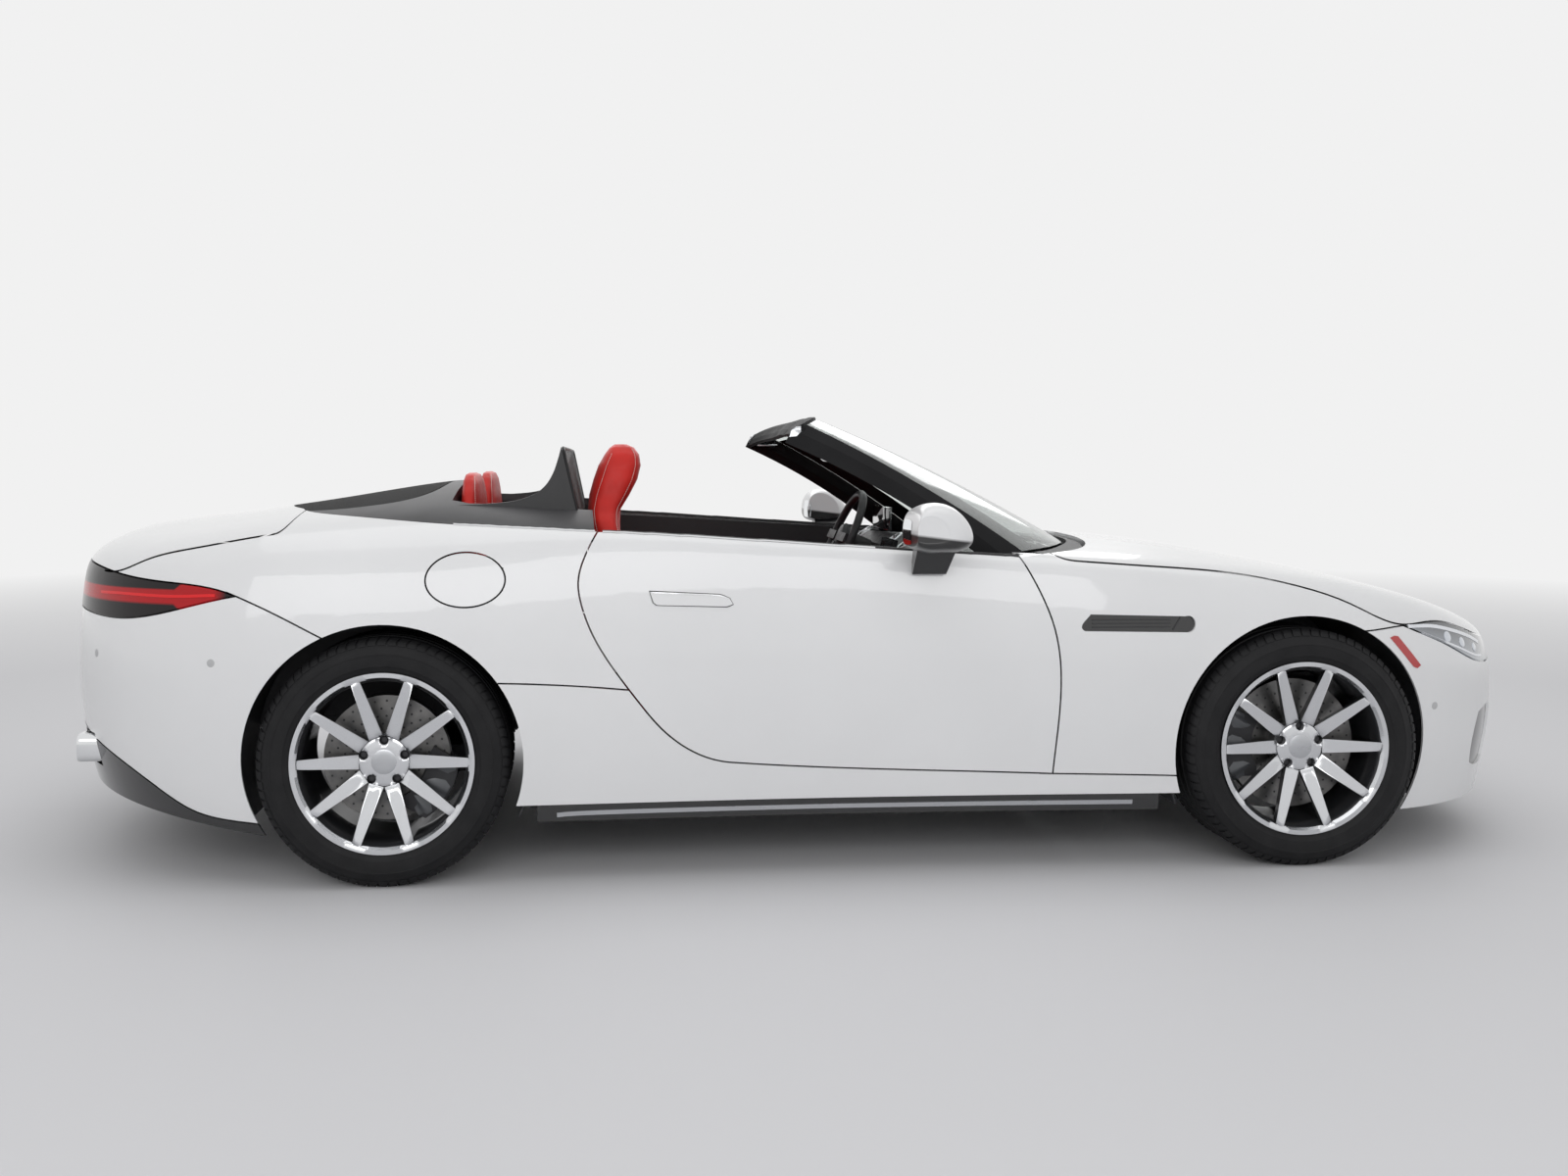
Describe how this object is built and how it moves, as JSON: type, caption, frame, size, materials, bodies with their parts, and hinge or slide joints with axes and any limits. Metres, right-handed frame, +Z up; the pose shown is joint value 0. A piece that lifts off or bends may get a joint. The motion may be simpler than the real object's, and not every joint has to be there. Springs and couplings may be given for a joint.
{
  "type": "open sports car",
  "caption": "Open two-door sports roadster with a long bonnet, spoked alloy wheels, opening doors, bonnet and boot lid, and steered front wheels.",
  "frame": {"origin": "on the ground under the middle of the overall box", "axes": "+X forward, +Y to the car's left, +Z up"},
  "size_m": [4.699, 2.2164, 1.3618],
  "materials": {
    "body_paint": "gloss",
    "black_gloss": "gloss",
    "black_plastic": "satin",
    "dark_trim": "matt",
    "lamp_clear": "gloss",
    "lamp_red": "gloss",
    "screen_glass": "gloss",
    "soft_top": "matt",
    "red_leather": "satin",
    "black_leather": "satin",
    "tyre_rubber": "matt",
    "rim_alloy": "polished",
    "brake_iron": "machined",
    "dark_metal": "satin",
    "mesh": "matt",
    "exhaust_chrome": "polished"
  },
  "bodies": {
    "body": {"body_structure": "dark_metal", "centre_console": "black_leather", "cowl": "black_plastic", "dashboard": "black_leather", "deck_trim": "dark_trim", "diffuser": "black_gloss", "engine": "dark_metal", "exhaust_tips": "exhaust_chrome", "fenders": "body_paint", "front_bumper": "body_paint", "front_seats": "red_leather", "front_subframe": "dark_metal", "grille": "mesh", "headlamps": "lamp_clear", "quarter_panels": "body_paint", "rear_axle": "dark_metal", "rear_bumper": "body_paint", "rear_seats": "red_leather", "seat_bases": "black_plastic", "side_skirts": "black_gloss", "side_vents": "black_gloss", "sills": "body_paint", "soft_top_cover": "soft_top", "steering_column": "black_plastic", "tail_lamps": "lamp_red", "upper_arms": "dark_metal", "wind_deflector": "mesh", "windscreen_frame": "black_gloss", "windscreen_glass": "screen_glass"},
    "door_right": {"door_right": "body_paint", "door_lining_right": "red_leather", "mirror_right": "body_paint"},
    "door_left": {"door_left": "body_paint", "door_lining_left": "red_leather", "mirror_left": "body_paint"},
    "hood": {"hood": "body_paint"},
    "trunk_lid": {"trunk_lid": "body_paint"},
    "knuckle_right": {"knuckle_right": "dark_metal"},
    "knuckle_left": {"knuckle_left": "dark_metal"},
    "steering_wheel": {"steering_wheel": "black_leather"},
    "fuel_flap": {"fuel_flap": "body_paint"},
    "wheel_front_right": {"tyre_front_right": "tyre_rubber", "rim_front_right": "rim_alloy", "disc_front_right": "brake_iron"},
    "wheel_front_left": {"tyre_front_left": "tyre_rubber", "rim_front_left": "rim_alloy", "disc_front_left": "brake_iron"},
    "wheel_rear_right": {"tyre_rear_right": "tyre_rubber", "rim_rear_right": "rim_alloy", "disc_rear_right": "brake_iron"},
    "wheel_rear_left": {"tyre_rear_left": "tyre_rubber", "rim_rear_left": "rim_alloy", "disc_rear_left": "brake_iron"}
  },
  "joints": [
    {"name": "door_right", "type": "hinge", "parent": "body", "child": "door_right", "pos_m": [0.575, -0.9, 0.575], "axis": [0, 0, 1], "range_deg": [0, 65]},
    {"name": "door_left", "type": "hinge", "parent": "body", "child": "door_left", "pos_m": [0.575, 0.9, 0.575], "axis": [0, 0, -1], "range_deg": [0, 65]},
    {"name": "hood", "type": "hinge", "parent": "body", "child": "hood", "pos_m": [0.575, 0, 0.919], "axis": [0, -1, 0], "range_deg": [0, 50]},
    {"name": "trunk_lid", "type": "hinge", "parent": "body", "child": "trunk_lid", "pos_m": [-1.48004, 0, 1.022], "axis": [0, 1, 0], "range_deg": [0, 70]},
    {"name": "steer_right", "type": "hinge", "parent": "body", "child": "knuckle_right", "pos_m": [1.412, -0.786, 0.355], "axis": [0, 0, 1], "range_deg": [-35, 35]},
    {"name": "steer_left", "type": "hinge", "parent": "body", "child": "knuckle_left", "pos_m": [1.412, 0.786, 0.355], "axis": [0, 0, 1], "range_deg": [-35, 35]},
    {"name": "steering_wheel", "type": "hinge", "parent": "body", "child": "steering_wheel", "pos_m": [0.25, 0.37, 0.915], "axis": [-0.9135, 0, 0.4067], "range_deg": [-456, 456]},
    {"name": "fuel_flap", "type": "hinge", "parent": "body", "child": "fuel_flap", "pos_m": [-0.9543, -0.91227, 0.872], "axis": [0, 0.2493, 0.9684], "range_deg": [0, 70]},
    {"name": "spin_front_right", "type": "hinge", "parent": "knuckle_right", "child": "wheel_front_right", "pos_m": [1.412, -0.816, 0.355], "axis": [0, 1, 0], "continuous": true},
    {"name": "spin_front_left", "type": "hinge", "parent": "knuckle_left", "child": "wheel_front_left", "pos_m": [1.412, 0.816, 0.355], "axis": [0, 1, 0], "continuous": true},
    {"name": "spin_rear_right", "type": "hinge", "parent": "body", "child": "wheel_rear_right", "pos_m": [-1.288, -0.803, 0.355], "axis": [0, 1, 0], "continuous": true},
    {"name": "spin_rear_left", "type": "hinge", "parent": "body", "child": "wheel_rear_left", "pos_m": [-1.288, 0.803, 0.355], "axis": [0, 1, 0], "continuous": true}
  ],
  "couplings": [
    {"joint": "steer_left", "follows": "steer_right", "ratio": 1},
    {"joint": "steering_wheel", "follows": "steer_right", "ratio": 13}
  ]
}
